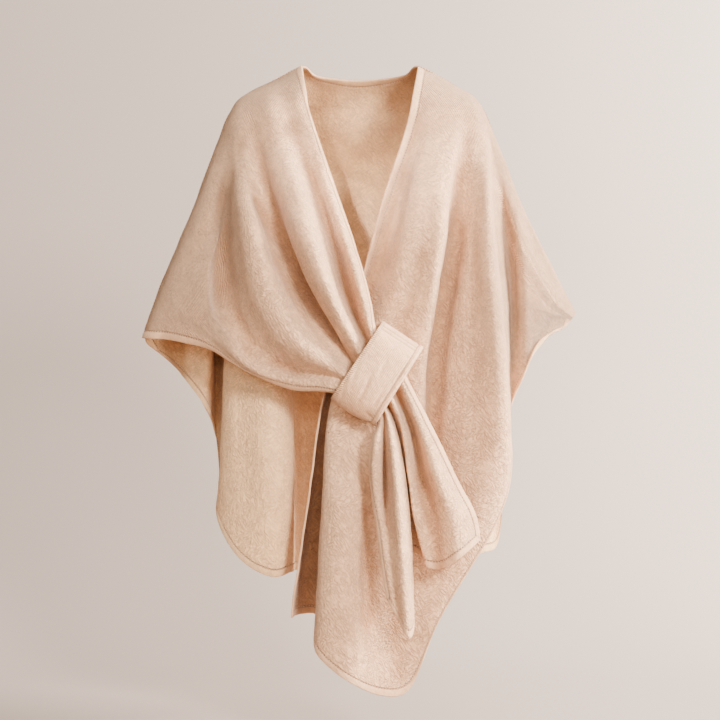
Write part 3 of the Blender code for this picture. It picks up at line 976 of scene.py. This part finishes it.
def finish_knit(tree, shader, relief_mm, height, yarn, shade, rough, colours):
    """Feeds the shader of a knit: its relief, and its yarn with painted shade in the folds' hollows and in
    its small creases.
    """
    bump = {"Height": height, "Distance": relief_mm * MM, "Strength": 1.0}
    # Painted shade: the yarn darkened by this tint deep in the folds, then mixed towards the fleck colour
    # in its small creases.
    colour = blended(field_of(tree, "painted_shade"), yarn, opaque(colours.painted_shade), "MULTIPLY")
    inputs = {
        "Base Color": blended(shade, colour, opaque(colours.fleck)),
        "Roughness": rough,
        "Normal": output(tree, "ShaderNodeBump", "Normal", bump),
        "Specular IOR Level": 0.2,
        "Sheen Weight": 0.28,
        "Sheen Roughness": 0.45,
        "Sheen Tint": (1.0, 0.82, 0.66, 1.0),
    }
    feed(tree, shader, inputs)


def knit_material(name, colours, light, patches, flecks, strokes, ribs):
    """Brushed double knit: heather, nap, the fine ribs where the nap is thin, and the hem, with painted
    shade between the ribs, in the nap's creases and in the stitched valley.
    """
    material, tree, shader, place = new_material(name)
    yarn = heathered(tree, place, colours, light, patches, flecks)
    nap, creases = brushed_nap(tree, place, strokes)
    rib = ribbed(tree, KNIT_RIB_M, SLANTED)
    edges = {"From edge": field_of(tree, "from_edge"), "Along edge": field_of(tree, "along_edge")}
    hem = placed_group(tree, "turned hem", hem_group, edges)
    body = 1.0 - hem["Band"] * 0.8
    thin = field_of(tree, "thin_nap") * ribs * body
    nap_share = body - thin * 0.55
    height = nap * nap_share + (rib - 0.5) * thin + hem["Height"]
    # Painted shade: darker between the fine ribs, in the nap's creases and in the hem's stitched valley;
    # the hem band a little darker too.
    shade = (1.0 - rib) * thin * 0.62 + creases * nap_share * 0.38 * strokes
    shade = shade + hem["Painted valley shade"] * 0.95 + hem["Band"] * 0.07
    rough = hem["Band"] * -0.06 + 0.95
    finish_knit(tree, shader, KNIT_RELIEF_MM, height, yarn, shade, rough, colours)
    return material


def loop_material(name, colours):
    """The loop's knit: fine ribs along the strip, a cross-ribbed selvage and a rolled, stitched rim, with
    painted shade between the cross ribs, in the stitched valleys and in the nap's creases.
    """
    material, tree, shader, place = new_material(name)
    yarn = heathered(tree, place, colours, colours.light, 0.35, 0.25)
    nap, creases = brushed_nap(tree, place, 0.5)
    long_rib = ribbed(tree, LOOP_RIB_M, LOOP_ACROSS)
    cross_rib = ribbed(tree, KNIT_RIB_M, LOOP_ALONG)
    selvage = field_of(tree, "selvage")
    height = long_rib * (1.0 - selvage) * 0.22 + cross_rib * selvage * 0.5 + nap * 0.5
    # Painted shade: darker between the selvage's cross ribs, in the stitched valleys and in the nap's
    # creases.
    shade = (1.0 - cross_rib) * selvage * 0.35 + field_of(tree, "valley") * 0.62 + creases * 0.2
    finish_knit(tree, shader, LOOP_RELIEF_MM, height, yarn, shade, selvage * -0.05 + 0.94, colours)
    return material


def thread_material(name, colours):
    """Twisted sewing thread in the colour of the knit."""
    material, tree, shader, place = new_material(name)
    twist = noise_of(place, 2600.0, 2.0, 0.6)
    darker = tuple(channel * 0.72 for channel in colours.thread)
    inputs = {
        "Base Color": blended(twist, opaque(colours.thread), opaque(darker)),
        "Roughness": twist * 0.2 + 0.6,
        "Specular IOR Level": 0.3,
    }
    feed(tree, shader, inputs)
    return material


def backdrop_material(name, colours):
    """Matte pale paper, with the faintest mottle, which doesn't hide the garment from behind."""
    material, tree, shader, place = new_material(name)
    darker = tuple(channel * 0.97 for channel in colours.backdrop)
    inputs = {
        "Base Color": blended(noise_of(place, 3.0), opaque(colours.backdrop), opaque(darker)),
        "Alpha": 1.0 - output(tree, "ShaderNodeNewGeometry", "Backfacing"),
        "Roughness": 0.9,
        "Specular IOR Level": 0.1,
    }
    feed(tree, shader, inputs)
    return material


def knit_materials(colours):
    """The outer face and the inner face of the panels, built once."""
    found = [bpy.data.materials.get(name) for name in ("brushed_knit", "brushed_knit_inside")]
    if all(found):
        return found
    outer = knit_material("brushed_knit", colours, colours.light, 0.42, 0.75, 1.0, 1.0)
    inner = knit_material("brushed_knit_inside", colours, colours.inside, 0.22, 0.35, 0.75, 0.15)
    return [outer, inner]


def hem_weights(from_edge, wall, hem_lift):
    """Weights for the wall: full in the hem, thin in the stitched valley, and eased at the rim."""
    thickest = wall + hem_lift
    thinnest = VALLEY_SHARE * wall / thickest
    plain = (wall / thickest - thinnest) / (1 - thinnest)
    weights = np.where(from_edge < STITCH_LINE_MM, 1.0, plain)
    valley = np.exp(-(((from_edge - STITCH_LINE_MM) / STITCH_VALLEY_MM) ** 2))
    weights = weights * (1 - valley)
    weights = np.where(from_edge < 0.5 * RIM_MM, RIM_WEIGHT, weights)
    return weights, thinnest


def give_wall(piece, thickness, weights=None, thinnest=0.0):
    """A wall on both sides of the cloth's middle, by its hem weights where it has them."""
    wall = piece.modifiers.new("wall", "SOLIDIFY")
    wall.thickness = thickness
    wall.offset = 0.0
    if weights is None:
        return
    group = piece.vertex_groups.new(name="hem")
    levels = np.round(weights.ravel(), 2)
    for level in np.unique(levels):
        group.add(np.flatnonzero(levels == level).tolist(), float(level), "REPLACE")
    wall.vertex_group = "hem"
    wall.thickness_vertex_group = thinnest
    wall.material_offset = 1


def add_piece(name, mesh, materials, slot, *nodes):
    """A piece of the garment in the scene, riding on the body and standing for its nodes."""
    for material in materials:
        mesh.materials.append(material)
    piece = bpy.data.objects.new(name, mesh)
    bpy.context.scene.collection.objects.link(piece)
    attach(piece, "root")
    if nodes:
        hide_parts(*nodes)
    return piece


def thin_nap(points, down):
    """Where the nap is thin and the ribs show: over the shoulders and on the arms."""
    shoulder = np.clip(SHOULDER_NAP_START - down / SHOULDER_NAP_MM, 0, 1)
    out = np.clip((np.abs(points[:, :, 0]) - ARM_NAP_X_MM) / ARM_NAP_EASE_MM, 0, 1)
    arm = out * np.clip((points[:, :, 2] - ARM_NAP_Z_MM) / ARM_NAP_RISE_MM, 0, 1)
    return np.clip(np.maximum(shoulder, ARM_NAP_SHARE * arm), 0, 1)


def stitch_template(length, radius):
    """One stitch lying along X, its ends dipping into the cloth; returns its points and faces."""
    # place along the stitch, share of the radius, sink in radii
    rings = ((-0.5, 0.35, -0.9), (-0.25, 0.9, 0.0), (0.25, 0.9, 0.0), (0.5, 0.35, -0.9))
    sides = 5
    points = []
    for place, share, sink in rings:
        for angle in np.arange(sides) * FULL_TURN / sides:
            across, up = share * np.cos(angle), share * np.sin(angle) + sink
            points.append((place * length, radius * across, radius * up))
    faces = []
    for ring in range(len(rings) - 1):
        for turn in range(sides):
            a, b = ring * sides + turn, ring * sides + (turn + 1) % sides
            faces.append((a, b, b + sides, a + sides))
    last = (len(rings) - 1) * sides
    faces.append(tuple(range(sides))[::-1])
    faces.append(tuple(range(last, last + sides)))
    return np.array(points), faces


def unit(ways):
    return ways / (np.linalg.norm(ways, axis=1, keepdims=True) + 1e-12)


def at_lengths(lengths, reach, values):
    """The rows of values, known at the lengths in reach, read at other lengths."""
    return np.stack([np.interp(lengths, reach, values[:, axis]) for axis in range(3)], axis=1)


def stitched(name, lines, slot, lift):
    """Top stitches along the lines, each a list of points and outward normals in mm, on both faces."""
    sizes = bpy.context.scene.cardigan_sizes
    template, template_faces = stitch_template(sizes.stitch_length, sizes.thread_radius)
    pitch = sizes.stitch_length + sizes.stitch_gap
    points, faces = [], []
    for places, normals in lines:
        places = places * MM
        reach = lengths_down(places[:, None])[:, 0]
        middles = np.arange(0.5 * pitch, reach[-1] - 0.5 * pitch, pitch)
        centre = at_lengths(middles, reach, places)
        way = unit(at_lengths(middles + 0.2 * pitch, reach, places) - centre)
        for side in (1, -1):
            out = unit(at_lengths(middles, reach, normals * side))
            beside = np.cross(out, way)
            made = (
                (centre + out * lift)[:, None]
                + template[None, :, :1] * way[:, None]
                + template[None, :, 1:2] * beside[:, None]
                + template[None, :, 2:] * out[:, None]
            )
            for one in made:
                base = len(points)
                points.extend(one.tolist())
                faces.extend(tuple(base + corner for corner in face) for face in template_faces)
    mesh = bpy.data.meshes.new(name)
    mesh.from_pydata(points, [], faces)
    mesh.shade_smooth()
    colours = bpy.context.scene.cardigan_colours
    thread = bpy.data.materials.get("sewing_thread") or thread_material("sewing_thread", colours)
    return add_piece(name, mesh, [thread], slot)


def hem_lines(points, normals, from_edge, top_too):
    """The stitch line along each cut side, kept clear of where another hem crosses it."""
    row = HEM_PLACES_MM.index(STITCH_LINE_MM)
    everywhere = slice(None)
    picks = [(-1 - row, everywhere), (everywhere, row), (everywhere, -1 - row)]
    if top_too:
        picks.insert(0, (row, everywhere))
    lines = []
    for pick in picks:
        keep = np.abs(from_edge[pick] - STITCH_LINE_MM) < STITCH_STRAY_MM
        runs = np.split(np.arange(len(keep)), np.flatnonzero(np.diff(keep.astype(int))) + 1)
        for run in runs:
            if keep[run[0]] and len(run) > 3:
                lines.append((points[pick][run], normals[pick][run]))
    return lines


def make_panel(node, points, creases, way_y, seed, slot, neck=False):
    """A panel of the wrap as a thin shell over its solid, with its turned hems and top stitches."""
    sizes = bpy.context.scene.cardigan_sizes
    colours = bpy.context.scene.cardigan_colours
    points = creased(points, creases, way_y)
    points = softened(points, SLEEVE_MM)
    points = uneven(points, way_y, seed, sizes.unevenness / MM, UNEVEN_WAVE_MM)
    points = with_hem_rows(points, neck, True)
    points = turned(with_hem_rows(turned(points), True, True))
    top_is_cut = neck & (np.abs(points[0, :, 0]) < NECK_HALF_MM)
    folded_above = (ARM_TIP_MM if neck else NO_EDGE_MM, ARM_TIP_MM)
    down, over, from_edge, along_edge = edge_measures(points, top_is_cut, folded_above)
    normals = facing(points, way_y)
    fields = {
        "from_edge": from_edge * MM,
        "along_edge": along_edge * MM,
        # Painted shade, deeper in the folds' hollows.
        "painted_shade": painted_fold_shade(points, normals if way_y < 0 else -normals),
        "thin_nap": thin_nap(points, down),
    }
    mesh = cloth_mesh(node + "_cloth", points, fields, np.stack([over, down], axis=2), way_y)
    piece = add_piece(node + "_cloth", mesh, knit_materials(colours), slot, node)
    weights, thinnest = hem_weights(from_edge, sizes.wall, sizes.hem_lift)
    thickest = sizes.wall + sizes.hem_lift
    give_wall(piece, thickest, weights, thinnest)
    lines = hem_lines(points, normals, from_edge, neck)
    lift = 0.5 * thinnest * thickest + 0.7 * sizes.thread_radius
    sewing = stitched(node + "_stitches", lines, slot, lift)


class CARDIGAN_OT_back(bpy.types.Operator):
    """Build the back panel with its arm wings and the deep fold at the wearer's right."""

    bl_idname = "cardigan.back"
    bl_label = "Back"

    def execute(self, context):
        make_panel("back", back_points(), BACK_CREASES, 1, 3.1, "knit_inside", True)
        return {"FINISHED"}


class CARDIGAN_OT_left_front(bpy.types.Operator):
    """Build the left front, which hangs free and carries the loop."""

    bl_idname = "cardigan.left_front"
    bl_label = "Left front"

    def execute(self, context):
        make_panel("left_front", left_front_points(), LEFT_CREASES, -1, 7.7, "knit")
        return {"FINISHED"}


class CARDIGAN_OT_right_front(bpy.types.Operator):
    """Build the right front, drawn across and through the loop, with its gathered tail."""

    bl_idname = "cardigan.right_front"
    bl_label = "Right front and tail"

    def execute(self, context):
        points = right_front_points()
        make_panel("right_front", points, RIGHT_CREASES, -1, 12.9, "knit")
        return {"FINISHED"}


def loop_points():
    """The loop's closed ring, finer than its solid, carried over the strip's width."""
    ring = [(share, front, 0.0) for share, front, _ in LOOP_RING]
    ring.append((1.0, LOOP_FOOT_Y, 0.0))
    ring += [(share, behind, 0.0) for share, _, behind in reversed(LOOP_RING)]
    knots = np.array([(share * LOOP_LENGTH_MM, y, 0.0) for share, y, _ in ring])
    fine = through(knots, [FINER] * (len(knots) - 1))
    overs = np.linspace(0, 1, LOOP_COLUMNS * FINER + 1)
    rows = []
    for over in overs:
        foot_bow = LOOP_FOOT_BOW * (1 - (2 * over - 1) ** 2)
        shares = fine[:, 0] / LOOP_LENGTH_MM
        shares = shares + foot_bow * np.clip(shares * 2 - 1, 0, 1) ** 2
        rows.append([in_loop(share, y, over) for share, y in zip(shares, fine[:, 1])])
    return np.array(rows), overs, fine


def valley_at(distances, line):
    """From 0 to 1 in the valley that a line of stitches pulls into the loop."""
    return np.exp(-(((distances - line) / LOOP_VALLEY_MM) ** 2))


class CARDIGAN_OT_belt_loop(bpy.types.Operator):
    """Build the belt loop: the sewn strip with its ribbed selvage, rolled rim and doubled top."""

    bl_idname = "cardigan.belt_loop"
    bl_label = "Belt loop"

    def execute(self, context):
        sizes = context.scene.cardigan_sizes
        points, overs, fine = loop_points()
        front = len(fine) // 2
        width = np.linalg.norm(points[-1, 0] - points[0, 0])
        from_far = (1 - overs)[:, None] * width
        from_near = overs[:, None] * width
        along = fine[:front, 0][None]
        # The stitch lines lie on the rows and columns of points nearest to their places.
        rim_column = int(np.argmin(np.abs(from_far[:, 0] - LOOP_RIM_MM)))
        top_rows = [int(np.argmin(np.abs(along[0] - place))) for place in LOOP_TOP_LINES_MM]
        roll = np.sin(np.pi * np.clip(from_far / LOOP_RIM_MM, 0, 1)) ** 0.5
        rim = LOOP_RIM_LIFT_MM * (from_far < LOOP_RIM_MM) * roll
        top_valley = sum(valley_at(along, along[0, row]) for row in top_rows)
        top_valley = top_valley * (from_near > LOOP_TOP_FROM_MM) * (from_far > LOOP_RIM_MM)
        valley = np.clip(valley_at(from_far, from_far[rim_column, 0]) + top_valley, 0, 1)
        lift = rim - LOOP_VALLEY_DEPTH_MM * valley
        points[:, :front] += facing(points[:, :front], -1) * lift[:, :, None]
        points[:, :front] = creased(points[:, :front], LOOP_CREASES, -1)
        closed = np.concatenate([points, points[:, :1]], axis=1)
        down, over, _, _ = edge_measures(closed, False)
        fields = {name: np.zeros(closed.shape[:2]) for name in ("selvage", "valley", "painted_shade")}
        selvage = (LOOP_SELVAGE_MM - from_near) / LOOP_SELVAGE_EASE_MM
        foot = (along / LOOP_LENGTH_MM - LOOP_FOOT_FROM) / (1 - LOOP_FOOT_FROM)
        fields["selvage"][:, :front] = np.clip(selvage, 0, 1)
        # Painted shade in the stitched valleys.
        fields["valley"][:, :front] = valley
        # Painted shade at the loop's foot, where it turns under.
        fields["painted_shade"][:, :front] = LOOP_FOOT_SHADE * np.clip(foot, 0, 1)
        mesh = cloth_mesh("belt_loop_strip", closed, fields, np.stack([down, over], axis=2), 1)
        materials = [loop_material("loop_knit", context.scene.cardigan_colours)]
        piece = add_piece("belt_loop_strip", mesh, materials, "knit_loop", "belt_loop")
        merge = piece.modifiers.new("close_ring", "WELD")
        merge.merge_threshold = WELD_M
        give_wall(piece, sizes.loop_wall)
        picks = [(rim_column, slice(LOOP_FIRST_ROW, front))]
        picks += [(slice(LOOP_FIRST_COLUMN, rim_column), row) for row in top_rows]
        normals = facing(points[:, :front], -1)
        lines = [(points[pick], normals[pick]) for pick in picks]
        lift = 0.5 * sizes.loop_wall + 0.5 * sizes.thread_radius
        sewing = stitched("belt_loop_stitches", lines, "knit_loop", lift)
        return {"FINISHED"}


def add_light(name, place, aim, size, power, spread):
    light = bpy.data.lights.new(name, "AREA")
    light.shape = "DISK"
    light.size = size
    light.energy = power
    light.spread = math.radians(spread)
    lamp = bpy.data.objects.new(name, light)
    bpy.context.scene.collection.objects.link(lamp)
    lamp.visible_camera = False
    lamp.location = place
    lamp.rotation_euler = (Vector(aim) - Vector(place)).to_track_quat("-Z", "Y").to_euler()


def backdrop_mesh():
    """The floor and the wall as one sheet, which turns up in a quarter circle between them."""
    profile = [(FLOOR_NEAR_M, FLOOR_Z_M)]
    for turn in np.linspace(0, math.pi / 2, COVE_STEPS):
        y = WALL_Y_M - COVE_M + COVE_M * math.sin(turn)
        profile.append((y, FLOOR_Z_M + COVE_M * (1 - math.cos(turn))))
    profile.append((WALL_Y_M, WALL_TOP_M))
    points = [(x, y, z) for x in (-STAGE_HALF_M, STAGE_HALF_M) for y, z in profile]
    count = len(profile)
    faces = [(count + i, count + i + 1, i + 1, i) for i in range(count - 1)]
    mesh = bpy.data.meshes.new("backdrop")
    mesh.from_pydata(points, [], faces)
    mesh.shade_smooth()
    return mesh


class CARDIGAN_OT_stage(bpy.types.Operator):
    """Build the pale floor and wall, the soft studio light and the camera."""

    bl_idname = "cardigan.stage"
    bl_label = "Stage"

    def execute(self, context):
        mesh = backdrop_mesh()
        mesh.materials.append(backdrop_material("pale_paper", context.scene.cardigan_colours))
        backdrop = bpy.data.objects.new("backdrop", mesh)
        context.scene.collection.objects.link(backdrop)
        for light in LIGHTS:
            add_light(*light)
        world = bpy.data.worlds.new("studio")
        world.use_nodes = True
        background = world.node_tree.nodes["Background"]
        background.inputs["Color"].default_value = (*AIR_COLOUR, 1.0)
        background.inputs["Strength"].default_value = AIR_STRENGTH
        context.scene.world = world
        camera = bpy.data.cameras.new("camera")
        camera.sensor_width = SENSOR_MM
        camera.lens = SENSOR_MM * SIGHT_MM * MM / VIEW_WIDTH_M
        eye = bpy.data.objects.new("camera", camera)
        context.scene.collection.objects.link(eye)
        eye.location = (0.0, -SIGHT_MM * MM, EYE_MM * MM)
        eye.rotation_euler = (math.pi / 2, 0.0, 0.0)
        context.scene.camera = eye
        return {"FINISHED"}


PIECES = (
    CARDIGAN_OT_back,
    CARDIGAN_OT_left_front,
    CARDIGAN_OT_right_front,
    CARDIGAN_OT_belt_loop,
    CARDIGAN_OT_stage,
)


class CARDIGAN_PT_panel(bpy.types.Panel):
    """Lists the pieces of the cardigan and its stage."""

    bl_idname = "CARDIGAN_PT_panel"
    bl_label = "Belted cardigan"
    bl_space_type = "VIEW_3D"
    bl_region_type = "UI"
    bl_category = "Cardigan"

    def draw(self, context):
        for settings in (context.scene.cardigan_sizes, context.scene.cardigan_colours):
            box = self.layout.box()
            for name in settings.bl_rna.properties.keys():
                if name not in ("rna_type", "name"):
                    box.prop(settings, name)
        for piece in PIECES:
            self.layout.operator(piece.bl_idname)


CLASSES = (CardiganSizes, CardiganColours, *PIECES, CARDIGAN_PT_panel)


def register():
    for one in CLASSES:
        bpy.utils.register_class(one)
    bpy.types.Scene.cardigan_sizes = bpy.props.PointerProperty(type=CardiganSizes)
    bpy.types.Scene.cardigan_colours = bpy.props.PointerProperty(type=CardiganColours)


def unregister():
    del bpy.types.Scene.cardigan_colours
    del bpy.types.Scene.cardigan_sizes
    for one in reversed(CLASSES):
        bpy.utils.unregister_class(one)


def main():
    register()
    bpy.ops.cardigan.back()
    bpy.ops.cardigan.left_front()
    bpy.ops.cardigan.right_front()
    bpy.ops.cardigan.belt_loop()
    bpy.ops.cardigan.stage()


if __name__ == "__main__":
    main()
